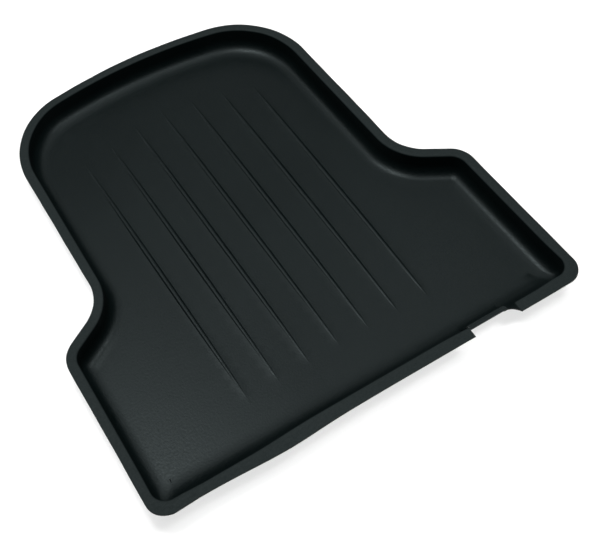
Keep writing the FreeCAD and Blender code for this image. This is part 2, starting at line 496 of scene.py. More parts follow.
def arc_between(start: Vector, centre: Vector, end: Vector, steps: int) -> list[Vector]:
    """Walks the short arc from start to end.

    Args:
        start: the arc's first point.
        centre: the point it turns about.
        end: the arc's last point.
        steps: how many equal parts it is cut into.

    Returns:
        The points, both ends included.
    """
    spoke = start - centre
    turn = math.atan2(spoke.x * (end - centre).y - spoke.y * (end - centre).x, spoke.dot(end - centre))
    return [centre + Matrix.Rotation(turn * step / steps, 2) @ spoke for step in range(steps + 1)]


def rounded(before: Vector, corner: Vector, after: Vector, radius: float, steps: int) -> list[Vector]:
    """Rounds one corner of an outline.

    Args:
        before: a point on the line that comes to the corner.
        corner: the sharp corner.
        after: a point on the line that leaves it.
        radius: the radius of the rounding.
        steps: how many parts its arc has.

    Returns:
        The points of the arc.
    """
    u, v = (before - corner).normalized(), (after - corner).normalized()
    half = math.acos(u.dot(v)) / 2
    centre = corner + (u + v).normalized() * (radius / math.sin(half))
    reach = radius / math.tan(half)
    return arc_between(corner + u * reach, centre, corner + v * reach, steps)


@dataclass(frozen=True)
class TrayPlan:
    """Outline over the rim: a straight front, sides, slanted shoulders, a neck and a rounded end."""

    front_y: float
    length: float
    front_width: float = 1000.0 * MM
    side_length: float = 400.0 * MM
    side_taper: float = 12.0 * MM
    shoulder_step: float = 120.5 * MM
    shoulder_slant: float = 72.0 * MM
    neck_taper: float = 17.5 * MM
    end_bulge: float = 52.0 * MM
    front_corner_radius: float = 40.0 * MM
    shoulder_radius: float = 60.0 * MM
    neck_radius: float = 101.0 * MM
    back_corner_radius: float = 184.0 * MM
    rim_closing: float = 0.42               # how fast the front corners tighten across the rim
    rim_inset: float = 24.0 * MM
    pinch: float = 14.0 * MM                # front and shoulder corners are never tighter
    front_reach: float = 430.0 * MM         # the front's fixed stations end here
    corner_steps: int = 12                  # parts of each stretch, from the front to the crown
    side_steps: int = 20
    shoulder_steps: int = 6
    neck_corner_steps: int = 16
    neck_steps: int = 26
    back_corner_steps: int = 24
    crown_steps: int = 18

    def front_corner_at(self, inset: float) -> float:
        """Radius of a front corner at an inset: slow to tighten across the rim, then by the inset."""
        across_rim, past_rim = min(inset, self.rim_inset), max(inset - self.rim_inset, 0.0)
        return max(self.front_corner_radius - self.rim_closing * across_rim - past_rim, self.pinch)

    def back_half(self) -> float:
        """Half of the width where the neck lines end."""
        return self.front_width / 2 - self.side_taper - self.shoulder_step - self.neck_taper

    def end_arc(self) -> tuple[Vector, float]:
        """Centre and radius of the arc across the rounded end."""
        radius = (self.back_half() ** 2 + self.end_bulge ** 2) / (2 * self.end_bulge)
        return Vector((0.0, self.front_y + self.length - radius)), radius

    def corners(self) -> list[Vector]:
        """Places the sharp corners of the right side.

        Returns:
            The corners, from the front to the rounded end.
        """
        half, front = self.front_width / 2, self.front_y
        shoulder = half - self.side_taper
        neck_y = front + self.side_length + self.shoulder_slant
        return [Vector((half, front)), Vector((shoulder, front + self.side_length)),
                Vector((shoulder - self.shoulder_step, neck_y)),
                Vector((self.back_half(), front + self.length - self.end_bulge))]

    def back_corner(self, neck: Line, inset: float) -> list[Vector]:
        """Rounds the corner between a neck line and the arc of the rounded end.

        Args:
            neck: the neck line, already moved in.
            inset: distance in from the outline.

        Returns:
            The points of the arc that touches both.
        """
        middle, end_radius = self.end_arc()
        radius = self.back_corner_radius - inset
        start, along = neck
        inward = Vector((-along.y, along.x))
        base = start + inward * radius - middle
        swing = end_radius - inset - radius
        run = -base.dot(along) + math.sqrt(base.dot(along) ** 2 - base.dot(base) + swing ** 2)
        centre = middle + base + along * run
        outward = (centre - middle).normalized()
        return arc_between(centre - inward * radius, centre, centre + outward * radius,
                           self.back_corner_steps)

    def right_half(self, inset: float, front_inset: float, stations: list[float]) -> list[Vector]:
        """Walks from the middle of the front round the right side to the crown.

        Args:
            inset: distance in from the outline at the sides, neck and end.
            front_inset: the same along the front.
            stations: distances of the front's points from the middle line.

        Returns:
            The points, the same number for every inset.
        """
        corners = self.corners()
        side, shoulder, neck = [moved_line(a, b, inset) for a, b in zip(corners, corners[1:])]
        front_line = (Vector((0.0, self.front_y + front_inset)), Vector((1.0, 0.0)))
        front_corner, shoulder_corner = crossing(front_line, side), crossing(side, shoulder)
        neck_corner = crossing(shoulder, neck)
        front_arc = rounded(front_line[0], front_corner, shoulder_corner,
                            self.front_corner_at((inset + front_inset) / 2), self.corner_steps)
        shoulder_arc = rounded(front_corner, shoulder_corner, neck_corner,
                               max(self.shoulder_radius - inset, self.pinch), self.corner_steps)
        back_arc = self.back_corner(neck, inset)
        neck_arc = rounded(shoulder_corner, neck_corner, back_arc[0], self.neck_radius + inset,
                           self.neck_corner_steps)
        middle, end_radius = self.end_arc()
        crown = middle + Vector((0.0, end_radius - inset))
        end_arc = arc_between(back_arc[-1], middle, crown, self.crown_steps)
        path = [Vector((x, self.front_y + front_inset)) for x in stations]
        path += front_arc + straight(front_arc[-1], shoulder_arc[0], self.side_steps)
        path += shoulder_arc + straight(shoulder_arc[-1], neck_arc[0], self.shoulder_steps)
        path += neck_arc + straight(neck_arc[-1], back_arc[0], self.neck_steps)
        return path + back_arc + end_arc[1:]

    def ring(self, inset: float, front_inset: float, stations: list[float]) -> list[Vector]:
        """The whole outline at an inset, once round from the middle of the front."""
        right = self.right_half(inset, front_inset, stations)
        return right + [Vector((-p.x, p.y)) for p in reversed(right[1:-1])]


# ---- the sheet cut across -------------------------------------------------------------------
class Face(Enum):
    """The two faces of the formed sheet."""

    UPPER = 1
    LOWER = -1


@dataclass(frozen=True)
class SectionPoint:
    """One point of the section: how far in, how high, and how much of the edge's wander it takes."""

    inset: float
    height: float
    wander: float = 0.0


@dataclass(frozen=True)
class Relief:
    """The lowered place in the front rim: a cut and an upright step on the left, a ramp on the right."""

    start: float = 218.0 * MM
    end: float = 333.0 * MM
    ramp: float = 15.0 * MM
    drop: float = 16.0 * MM
    wall: float = 39.5 * MM                 # front edge to the inside of the wall
    lip: float = 13.0 * MM                  # width of the lip that is left
    least_lip: float = 1.0 * MM
    near_lip: float = 2.0 * MM              # the foot of the ramp, this high, has the lip's section
    trim_turn: float = 314.0 * MM           # where the trim line begins to curve out to the rim's edge
    bend: float = 1.6 * MM                  # eased arrises of the step
    grow: float = 2.6 * MM                  # draft of the two side walls
    lag: float = 1.3 * MM                   # how far the ramp's underside stands behind its top
    corner: float = 9.0 * MM                # rounding of the set-in wall's two ends
    hair: float = 0.12 * MM                 # half the gap between the two stations of a step
    bend_shares: tuple[float, ...] = (0.08, 0.3, 0.6, 1.0)
    corner_shares: tuple[float, ...] = (0.0, 0.02, 0.08, 0.2, 0.38, 0.6, 0.8, 1.0)
    trim_steps: int = 10
    past_end: float = 5.0 * MM              # one more station stands this far behind the ramp

    def foot(self) -> float:
        """Where the ramp meets the lip."""
        return self.end - self.ramp

    def step(self, face: Face, sheet: float) -> float:
        """Where the rim steps down to the lip."""
        return self.start + (sheet if face is Face.UPPER else 2 * self.hair)

    def lowering(self, x: float, face: Face, sheet: float) -> float:
        """How far a face of the rim lies below its usual height.

        Args:
            x: distance from the middle line.
            face: the face that is asked for.
            sheet: the sheet's thickness.

        Returns:
            The depth, 0 outside the relief.
        """
        step = self.step(face, sheet)
        bend = self.bend if face is Face.UPPER else self.hair
        end = self.end + (0.0 if face is Face.UPPER else self.lag)
        if x <= step - bend or x >= end:
            return 0.0
        if x < step:
            share = (x - step + bend) / bend
            return bend * (1 - math.sqrt(max(1 - share * share, 0.0)))
        if x < step + bend:
            share = 1 - (x - step) / bend
            return self.drop - bend * (1 - math.sqrt(max(1 - share * share, 0.0)))
        return self.drop * min((end - x) / self.ramp, 1.0)

    def edge(self, x: float) -> float:
        """How far in the trimmed edge runs.

        Args:
            x: distance from the middle line.

        Returns:
            The inset, 0 outside the relief.
        """
        if x <= self.start or x >= self.end:
            return 0.0
        share = max(x - self.trim_turn, 0.0) / (self.end - self.trim_turn)
        return (self.wall - self.lip) * (1 - share * share)

    def wall_ends(self, face: Face, sheet: float) -> tuple[float, float]:
        """Where the set-in wall starts and ends."""
        left, right = self.start + sheet - self.grow / 2, self.foot() + self.grow / 4
        return (left, right) if face is Face.UPPER else (left + sheet, right - sheet)

    def wall_share(self, x: float, face: Face, sheet: float) -> float:
        """How far the wall has moved in.

        Args:
            x: distance from the middle line, between the wall's two ends.
            face: the face that is asked for.
            sheet: the sheet's thickness.

        Returns:
            0 at the two ends, 1 past their rounding.
        """
        left, right = self.wall_ends(face, sheet)
        short = max(1 - min(x - left, right - x) / self.corner, 0.0)
        return math.sqrt(max(1 - short * short, 0.0))

    def stations(self, sheet: float) -> set[float]:
        """Finds the points that the relief needs along the front.

        Args:
            sheet: the sheet's thickness.

        Returns:
            Their distances from the middle line.
        """
        found = {self.start - self.hair, self.start + self.hair / 2, self.end}
        step = self.step(Face.UPPER, sheet)
        for share in self.bend_shares:
            found |= {step - self.bend * share, step + self.bend * share}
        lower = self.step(Face.LOWER, sheet)
        found |= {lower - self.hair, lower + self.hair}
        for face in Face:
            left, right = self.wall_ends(face, sheet)
            for share in self.corner_shares:
                found |= {left + self.corner * share, right - self.corner * share}
        found |= {mix(self.trim_turn, self.end, step / self.trim_steps) for step in range(self.trim_steps)}
        return found | {self.foot(), self.end + self.lag, self.end + self.past_end}


@dataclass(frozen=True)
class SheetSection:
    """How the sheet runs from its trimmed edge over the rim, down the wall and into the floor."""

    top: float
    floor: float
    sheet: float = 3.0 * MM
    draft: float = math.radians(4.0)
    bend: float = 5.0 * MM
    widest_bend: float = 0.55               # the bend takes no more of the rim's width
    arris: float = 0.5 * MM
    arris_share: float = 0.3                # how far in the middle of the arris lies
    split: float = 16.0 * MM                # depth at which the section's two parts meet
    least_drop: float = 0.3 * MM            # shortest upright stretch above the split
    toe_angle: float = math.radians(9.0)    # the sweep into the floor is softer in its last degrees
    toe_softness: float = 2.2
    sweep_pace: float = 0.9                 # the sweep's points stand a little closer at the floor
    set_in_bend: float = 0.7                # bend of the relief's wall, in usual bends
    set_in_room: float = 1.1                # height that bend leaves free of the sweep, in bends
    rim_shares: tuple[float, ...] = (0.15, 0.4, 0.7)
    upper_shares: tuple[float, ...] = (0.35, 0.7, 1.0)
    lower_shares: tuple[float, ...] = (0.5,)
    fold_steps: int = 7
    sweep_steps: int = 14
    set_in_fold_steps: int = 5

    def sweep(self, lean: float) -> tuple[float, float]:
        """Walks the sweep from the floor up to a lean of the sheet's normal.

        Args:
            lean: angle of the normal, a right angle on the flat floor.

        Returns:
            Run and rise, for a radius of 1.
        """
        turned, toe, soft = math.pi / 2 - lean, self.toe_angle, self.toe_softness
        if turned <= toe:
            return soft * math.sin(turned), soft * (1 - math.cos(turned))
        return (soft * math.sin(toe) + math.sin(turned) - math.sin(toe),
                soft * (1 - math.cos(toe)) + math.cos(toe) - math.cos(turned))

    def sweep_width(self) -> float:
        """Plan width from a wall's foot to the flat of the floor, for a radius of 1."""
        run, rise = self.sweep(self.draft)
        return run - rise * math.tan(self.draft)

    def foot(self, wall: float, radius: float) -> float:
        """Inset at which the floor is flat, below a wall that meets the rim face at wall."""
        return wall + (self.top - self.floor) * math.tan(self.draft) + radius * self.sweep_width()

    def radius(self, wall: float, top: float, foot: float) -> float:
        """The radius whose sweep joins a wall to a floor that is flat from foot on."""
        return (foot - wall - (top - self.floor) * math.tan(self.draft)) / self.sweep_width()

    def at_lean(self, inset: float, height: float, lean: float, face: Face) -> SectionPoint:
        """A point on the upper face, or its partner on the lower face.

        Args:
            inset: how far in the upper face's point is.
            height: how high it is.
            lean: angle of the sheet's normal, 0 level and pointing inwards, a right angle upwards.
            face: which face is wanted.

        Returns:
            The point.
        """
        if face is Face.UPPER:
            return SectionPoint(inset, height)
        return SectionPoint(inset - self.sheet * math.cos(lean), height - self.sheet * math.sin(lean))

    def cut_edge(self, edge: float, top: float, face: Face, wander: float) -> list[SectionPoint]:
        """The eased arris at the trimmed edge.

        Args:
            edge: inset of the edge.
            top: height of the upper face.
            face: which face is wanted.
            wander: share of the edge's wander that the points take.

        Returns:
            Three points, from the edge in.
        """
        flat = top if face is Face.UPPER else top - self.sheet
        corner = flat - self.arris if face is Face.UPPER else flat + self.arris
        middle = edge + self.arris_share * self.arris
        return [SectionPoint(edge, corner, wander),
                SectionPoint(middle, mix(corner, flat, 1 - self.arris_share), wander),
                SectionPoint(edge + self.arris, flat, wander)]

    def fold(self, wall: float, top: float, bend: float, steps: int, face: Face) -> list[SectionPoint]:
        """The bend from a level face into a wall.

        Args:
            wall: inset at which the wall would meet the level face.
            top: height of that face.
            bend: radius of the bend on the upper face.
            steps: how many parts it has.
            face: which face is wanted.

        Returns:
            The points, both ends included.
        """
        lean_run = (1 - math.sin(self.draft)) * math.tan(self.draft)
        middle = wall - bend * (math.cos(self.draft) - lean_run)
        points = []
        for step in range(steps + 1):
            lean = mix(math.pi / 2, self.draft, step / steps)
            height = top - bend + bend * math.sin(lean)
            points.append(self.at_lean(middle + bend * math.cos(lean), height, lean, face))
        return points

    def down(self, wall: float, top: float, heights: list[float], face: Face) -> list[SectionPoint]:
        """Points at some heights on a wall that meets the face at top at the inset wall."""
        return [self.at_lean(wall + (top - height) * math.tan(self.draft), height, self.draft, face)
                for height in heights]

    def sweep_points(self, radius: float, foot: float, steps: int, face: Face) -> list[SectionPoint]:
        """The sweep from the wall into the floor.

        Args:
            radius: its main radius.
            foot: inset from which the floor is flat.
            steps: how many parts it has.
            face: which face is wanted.

        Returns:
            The points, both ends included.
        """
        points = []
        for step in range(steps + 1):
            lean = mix(self.draft, math.pi / 2, (step / steps) ** self.sweep_pace)
            run, rise = self.sweep(lean)
            points.append(self.at_lean(foot - radius * run, self.floor + radius * rise, lean, face))
        return points

    def over_rim(self, edge: float, wall: float, top: float, face: Face) -> list[SectionPoint]:
        """From the trimmed edge over the rim and its bend, and down the wall to the split.

        Args:
            edge: inset of the edge.
            wall: inset at which the wall meets the rim's face.
            top: height of the rim's face.
            face: which face is wanted.

        Returns:
            The points of the section's first part.
        """
        bend = min(self.bend, self.widest_bend * (wall - edge - self.arris))
        folded = self.fold(wall, top, bend, self.fold_steps, face)
        start = self.fold(wall, top, bend, 1, Face.UPPER)[-1].height
        points = self.cut_edge(edge, top, face, 1.0)
        flat = points[-1].height
        for share in self.rim_shares:
            inset = mix(edge + self.arris, folded[0].inset, share)
            points.append(SectionPoint(inset, flat, 1 - share))
        low = min(self.top - self.split, start - self.least_drop)
        heights = [mix(start, low, share) for share in self.upper_shares]
        return points + folded + self.down(wall, top, heights, face)

    def down_wall(self, wall: float, top: float, foot: float, face: Face) -> list[SectionPoint]:
        """From the split down the wall and round into the floor.

        Args:
            wall: inset at which the wall meets the face at top.
            top: height of that face.
            foot: inset from which the floor is flat.
            face: which face is wanted.

        Returns:
            The points of the section's second part.
        """
        radius = self.radius(wall, top, foot)
        start = self.floor + radius * self.sweep(self.draft)[1]
        low = min(self.top - self.split, top - self.bend - self.least_drop)
        heights = [mix(low, start, share) for share in self.lower_shares]
        return (self.down(wall, top, heights, face)
                + self.sweep_points(radius, foot, self.sweep_steps, face))

    def usual(self, wall: float, foot: float, face: Face) -> list[SectionPoint]:
        """The section at the sides, the neck, the end and most of the front."""
        return self.over_rim(0.0, wall, self.top, face) + self.down_wall(wall, self.top, foot, face)

    def short_lip(self, edge: float, top: float, join: float, face: Face) -> list[SectionPoint]:
        """The outer part of the relief's lip, with as many points as over_rim gives.

        Args:
            edge: inset of the trimmed edge.
            top: height of the lip's upper face.
            join: inset at which its inner part begins.
            face: which face is wanted.

        Returns:
            The points.
        """
        points = self.cut_edge(edge, top, face, 0.0)
        flat = points[-1].height
        count = len(self.rim_shares) + self.fold_steps + 1 + len(self.upper_shares)
        return points + [SectionPoint(mix(edge + self.arris, join, (step + 1) / count), flat)
                         for step in range(count)]

    def set_in_wall(self, wall: float, top: float, foot: float, face: Face) -> list[SectionPoint]:
        """From the relief's lip down its wall, with as many points as down_wall gives.

        Args:
            wall: inset at which the wall meets the lip.
            top: height of the lip.
            foot: inset from which the floor is flat, where there is room for so wide a sweep.
            face: which face is wanted.

        Returns:
            The points.
        """
        bend = self.set_in_bend * self.bend
        room = top - self.floor - self.set_in_room * bend
        radius = min(self.radius(wall, top, foot), room / self.sweep(self.draft)[1])
        reach = wall + (top - self.floor) * math.tan(self.draft) + radius * self.sweep_width()
        steps = len(self.lower_shares) + self.sweep_steps - self.set_in_fold_steps - 1
        return (self.fold(wall, top, bend, self.set_in_fold_steps, face)
                + self.sweep_points(radius, reach, steps, face))

    def in_order(self, points: list[SectionPoint]) -> list[SectionPoint]:
        """Takes away every step back out or back up, past the cut edge.

        Args:
            points: a whole section.

        Returns:
            As many points, none further out or higher than the one before it.
        """
        edge = 3
        kept = points[:edge]
        for point in points[edge:]:
            before = kept[-1]
            kept.append(SectionPoint(max(point.inset, before.inset), min(point.height, before.height),
                                     point.wander))
        return kept


# ---- ribs -----------------------------------------------------------------------------------
@dataclass(frozen=True)
class FloorRibs:
    """Lens-shaped ribs pressed up out of the floor, side by side."""

    front_y: float
    length: float
    outer_x: float
    count: int = 7
    width: float = 12.0 * MM
    height: float = 3.0 * MM
    front_gap: float = 145.0 * MM
    back_gap: float = 116.0 * MM
    end_arc: float = 424.0 * MM
    foot: float = 0.22 * MM                 # softness of the bend at a rib's foot
    fade: float = 2.2                       # crest height, in feet, below which a rib fades out
    rows: int = 60
    line_shares: tuple[float, ...] = (0.0, 0.3, 0.55, 0.76, 0.9, 1.0, 1.12)

    def middles(self) -> list[float]:
        """The X of each rib's middle line."""
        pitch = 2 * self.outer_x / (self.count - 1)
        return [index * pitch - self.outer_x for index in range(self.count)]

    def span(self, x: float) -> tuple[float, float]:
        """The Y of the two ends of the rib at x."""
        bulge = self.end_arc - math.sqrt(self.end_arc ** 2 - x ** 2)
        return self.front_y + self.front_gap, self.front_y + self.length - self.back_gap - bulge

    def core(self) -> float:
        """Distance from the axis of a rib's round section up to the floor."""
        half = self.width / 2
        return (half ** 2 + self.height ** 2) / (2 * self.height) - self.height

    def crest(self, x: float, y: float) -> float:
        """Height of the crest of a rib.

        Args:
            x: the rib's middle line.
            y: a place along it.

        Returns:
            The height, 0 past the rib's two ends.
        """
        near, far = self.span(x)
        along = (y - near) / (far - near) * 2 - 1
        return self.height * max(1 - along * along, 0.0)

    def half_width(self, x: float, y: float) -> float:
        """Half of the width of the rib at x where it leaves the floor."""
        crest = self.crest(x, y)
        return math.sqrt(crest ** 2 + 2 * self.core() * crest)

    def rise(self, x: float, y: float) -> float:
        """How far the sheet is pressed up at a place on the floor.

        Args:
            x: the place across the tray.
            y: the place along it.

        Returns:
            The height above the flat floor.
        """
        middle = min(self.middles(), key=lambda rib: abs(rib - x))
        crest = self.crest(middle, y)
        if crest <= 0 or abs(x - middle) > self.width:
            return 0.0
        radius = self.core() + crest
        side = x - middle
        lens = math.sqrt(max(radius ** 2 - side ** 2, 0.0)) - self.core()
        if lens <= -self.core():
            lens = -self.core() - (abs(side) - radius)
        fading = min(crest / (self.fade * self.foot), 1.0)
        return (lens + math.sqrt(lens ** 2 + self.foot ** 2)) / 2 * fading

    def lines(self) -> list[list[Vector]]:
        """Draws lines along every rib, close where its sides bend.

        Returns:
            The lines, which the floor's mesh follows.
        """
        sides = sorted({sign * share for share in self.line_shares for sign in (-1, 1)})
        found = []
        for middle in self.middles():
            near, far = self.span(middle)
            ys = [mix(near, far, (row + 0.5) / self.rows) for row in range(self.rows)]
            for side in sides:
                found.append([Vector((middle + side * self.half_width(middle, y), y)) for y in ys])
        return found


# ---- meshes ---------------------------------------------------------------------------------
class PolygonTest:
    """Tells whether a point lies inside a ring and clear of its edge."""

    TINY = 1e-12                            # keeps an edge without length from dividing by 0

    def __init__(self, ring: list[Vector], clearance: float) -> None:
        """Keeps the ring's edges and the smallest distance that a point keeps from them."""
        self.edges = list(zip(ring, ring[1:] + ring[:1]))
        self.clearance = clearance

    def holds(self, place: Vector) -> bool:
        """Tests one point.

        Args:
            place: the point.

        Returns:
            Whether it is inside and clear of the edge.
        """
        inside = False
        for a, b in self.edges:
            if (a.y > place.y) != (b.y > place.y):
                inside ^= place.x < a.x + (place.y - a.y) / (b.y - a.y) * (b.x - a.x)
            run = b - a
            share = min(max((place - a).dot(run) / max(run.dot(run), self.TINY), 0.0), 1.0)
            if (place - a - run * share).length < self.clearance:
                return False
        return inside


def bridge(mesh: bmesh.types.BMesh, rings: list[list[bmesh.types.BMVert]],
           flip: bool) -> list[bmesh.types.BMFace]:
    """Joins neighbouring rings of corners with faces.

    Args:
        mesh: the mesh that the rings belong to.
        rings: rings of as many corners each.
        flip: whether the faces look the other way.

    Returns:
        The new faces.
    """
    made = []
    for outer, inner in zip(rings, rings[1:]):
        for index in range(len(outer)):
            following = (index + 1) % len(outer)
            loop = [outer[index], outer[following], inner[following], inner[index]]
            made.append(mesh.faces.new(loop[::-1] if flip else loop))
    return made


def in_scene(name: str, data: bpy.types.ID) -> bpy.types.Object:
    """Puts a new object into the scene.

    Args:
        name: the object's name.
        data: the mesh, lamp or camera that it shows.

    Returns:
        The object.
    """
    made = bpy.data.objects.new(name, data)
    bpy.context.scene.collection.objects.link(made)
    return made


def shown(name: str, mesh: bmesh.types.BMesh, crease: float = math.radians(30)) -> bpy.types.Object:
    """Turns a built mesh into an object of the scene, smooth but for its creases.

    Args:
        name: the object's name.
        mesh: the built mesh, which is used up.
        crease: angle from which an edge stays sharp.

    Returns:
        The object.
    """
    data = bpy.data.meshes.new(name)
    mesh.to_mesh(data)
    mesh.free()
    data.shade_smooth()
    data.set_sharp_from_angle(angle=crease)
    return in_scene(name, data)


# ---- the tray -------------------------------------------------------------------------------
@dataclass(frozen=True)
class HandTrim:
    """How far in of its line the trimmed edge runs: slow waves, and one long bulge in the front."""

    wander: float = 0.45 * MM
    waves: tuple[tuple[float, float, float], ...] = (       # size, pace and start of each
        (1.0, 0.115, 0.0),
        (0.6, 0.31, 1.3),
        (0.35, 0.83, 0.4),
    )
    front_share: float = 0.25               # share of the waves that the front has
    front_inset: float = 2.3 * MM
    front_bulge: Swell = Swell(-225 * MM, 95 * MM, -6.3 * MM)
    front_right: Change = Change(200 * MM, 335 * MM, -2.8 * MM)
    corners: Change = Change(400 * MM, 460 * MM)
    front_depth: float = 1.0 * MM           # what lies this near to the front's line belongs to it

    def at(self, place: Vector, step: float, front_y: float) -> float:
        """How far in of its line the edge runs.

        Args:
            place: a place on the outline.
            step: its number along the outline.
            front_y: the Y of the front's line.

        Returns:
            The distance.
        """
        loose = sum(size * math.sin(step * pace + start) for size, pace, start in self.waves)
        if place.y > front_y + self.front_depth:
            return self.wander * loose
        along = self.front_inset + self.front_bulge.at(place.x) + self.front_right.at(place.x)
        return along * (1 - self.corners.at(abs(place.x))) + self.front_share * self.wander * loose


@dataclass(frozen=True)
class WallShift:
    """How far in of its line the wall stands at the two sides and at the rounded end."""

    right: Change = Change(300 * MM, 360 * MM, 2.4 * MM)
    left: Change = Change(300 * MM, 360 * MM, 0.9 * MM)
    behind_front: Change = Change(0.02, 0.10)                   # in shares of the tray's length
    sides_end: Change = Change(0.86, 0.93)
    rounded_end: Change = Change(0.93, 0.99, -2.2 * MM)

    def at(self, x: float, share: float) -> float:
        """How far in of its line the wall stands at one place.

        Args:
            x: distance from the middle line, less than 0 on the left.
            share: how far behind the front it is, in lengths of the tray.

        Returns:
            The distance.
        """
        at_sides = self.right.at(x) + self.left.at(-x)
        along = self.behind_front.at(share) * (1 - self.sides_end.at(share))
        return at_sides * along + self.rounded_end.at(share)


@dataclass(frozen=True)
class FrontBow:
    """How far in of its line the front wall stands: in at the middle and out beside it."""

    middle: float = 2.6 * MM
    beside: Change = Change(140 * MM, 290 * MM, -4.6 * MM)
    corners: Change = Change(390 * MM, 430 * MM, 2.0 * MM)

    def at(self, x: float) -> float:
        """The distance at x."""
        return self.middle + self.beside.at(abs(x)) + self.corners.at(abs(x))


@dataclass
class LinerTray:
    """The formed sheet: rim, walls, floor with ribs, and the relief in the front rim."""

    rim_width: float = 20.0 * MM
    front_rim_width: float = 27.0 * MM
    floor_radius: float = 28.5 * MM
    front_floor_radius: float = 50.0 * MM
    rib_side_gap: float = 77.8 * MM
    rib_clear_radius: float = 30.0 * MM     # floor radius that the gap beside the ribs is counted from
    station_pitch: float = 21.5 * MM
    station_gap: float = 0.03 * MM          # stations that stand closer are one
    grid: float = 15.0 * MM                 # size of the floor's triangles between the ribs
    floor_margin: float = 5.0 * MM          # and their least distance from its edge
    rib_margin: float = 0.9                 # and from a rib's middle line, in rib widths
    weld: float = 1e-7                      # points of the floor that lie closer become one
    crease: float = math.radians(38)
    relief: Relief = field(default_factory=Relief)
    trim: HandTrim = field(default_factory=HandTrim)
    shift: WallShift = field(default_factory=WallShift)
    bow: FrontBow = field(default_factory=FrontBow)

    INSIDE_ONLY = 1                         # makes the triangulation keep to the floor's edge
    CUT_FINISH = 1                          # the cut edge's place among the sheet's finishes

    def __post_init__(self) -> None:
        """Works out the plan, the section and the ribs from the frame."""
        low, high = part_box("liner_tray")
        self.plan = TrayPlan(front_y=low.y, length=high.y - low.y)
        self.section = SheetSection(top=high.z, floor=low.z + SheetSection.sheet)
        self.foot = self.section.foot(self.rim_width, self.floor_radius)
        self.front_foot = self.section.foot(self.front_rim_width, self.front_floor_radius)
        depth = self.section.top - self.section.floor
        wall_foot = self.rim_width + depth * math.tan(self.section.draft)
        rib_x = self.plan.back_half() - wall_foot - self.rib_clear_radius - self.rib_side_gap
        self.ribs = FloorRibs(self.plan.front_y, self.plan.length, rib_x)

    def stations(self) -> list[float]:
        """Spaces the points along the front, closer at the relief.

        Returns:
            Their distances from the middle line.
        """
        steps = round(self.plan.front_reach / self.station_pitch)
        found = {step * self.station_pitch for step in range(steps + 1)}
        ordered = sorted(found | self.relief.stations(self.section.sheet))
        return [x for x, following in zip(ordered, ordered[1:] + [math.inf])
                if following - x > self.station_gap]

    def front_section(self, x: float, face: Face) -> list[SectionPoint]:
        """The section at a station of the front, with the relief where it is.

        Args:
            x: distance from the middle line.
            face: which face is wanted.

        Returns:
            The section's points.
        """
        relief, section = self.relief, self.section
        wall = self.front_rim_width + self.bow.at(x)
        down = section.down_wall(wall, section.top, self.front_foot, face)
        if x <= 0:
            return section.in_order(section.over_rim(0.0, wall, section.top, face) + down)
        top = section.top - relief.lowering(x, face, section.sheet)
        left, right = relief.wall_ends(face, section.sheet)
        set_in = left < x < right
        lip_top = section.top - relief.drop
        if set_in and top < lip_top + relief.near_lip:
            join = max(wall + relief.drop * math.tan(section.draft), relief.edge(x) + relief.least_lip)
            rim = section.short_lip(relief.edge(x), top, join, face)
        else:
            lean_in = (section.top - top) * math.tan(section.draft)
            rim = section.over_rim(relief.edge(x), wall + lean_in, top, face)
        if set_in:
            share = relief.wall_share(x, face, section.sheet)
            inner = section.set_in_wall(relief.wall, lip_top, self.front_foot, face)
            down = [SectionPoint(mix(a.inset, b.inset, share), mix(a.height, b.height, share))
                    for a, b in zip(down, inner)]
        return section.in_order(rim + down)

    def rings(self, face: Face) -> list[list[Vector]]:
        """Lays out one face of the sheet.

        Args:
            face: which face is wanted.

        Returns:
            Rings of points, from the trimmed edge to the floor.
        """
        stations = self.stations()
        usual = self.section.usual(self.rim_width, self.foot, face)
        front = self.section.usual(self.front_rim_width, self.front_foot, face)
        outline = self.plan.ring(0.0, 0.0, stations)
        count = len(outline)
        sections = {index: self.front_section(place.x, face) for index, place in enumerate(outline)
                    if index < len(stations) or index > count - len(stations)}
        made = []
        for level, (side_point, front_point) in enumerate(zip(usual, front)):
            ring = []
            for index, place in enumerate(self.plan.ring(side_point.inset, front_point.inset, stations)):
                point = side_point
                spot = place
                if index in sections:
                    point = sections[index][level]
                    spot = Vector((place.x, self.plan.front_y + point.inset))
                tangent = outline[(index + 1) % count] - outline[index - 1]
                inward = Vector((-tangent.y, tangent.x)).normalized()
                spot = spot + inward * self.strayed(outline[index], index, point.wander)
                ring.append(Vector((spot.x, spot.y, point.height)))
            made.append(ring)
        return made

    def strayed(self, place: Vector, step: int, wander: float) -> float:
        """How far in of its line a point of the section stands.

        Args:
            place: the place on the outline that the section starts from.
            step: its number along the outline.
            wander: the point's share of the edge's wander; the wall's shift has the rest.

        Returns:
            The distance.
        """
        wall = self.shift.at(place.x, (place.y - self.plan.front_y) / self.plan.length)
        return mix(wall, self.trim.at(place, step, self.plan.front_y), wander)

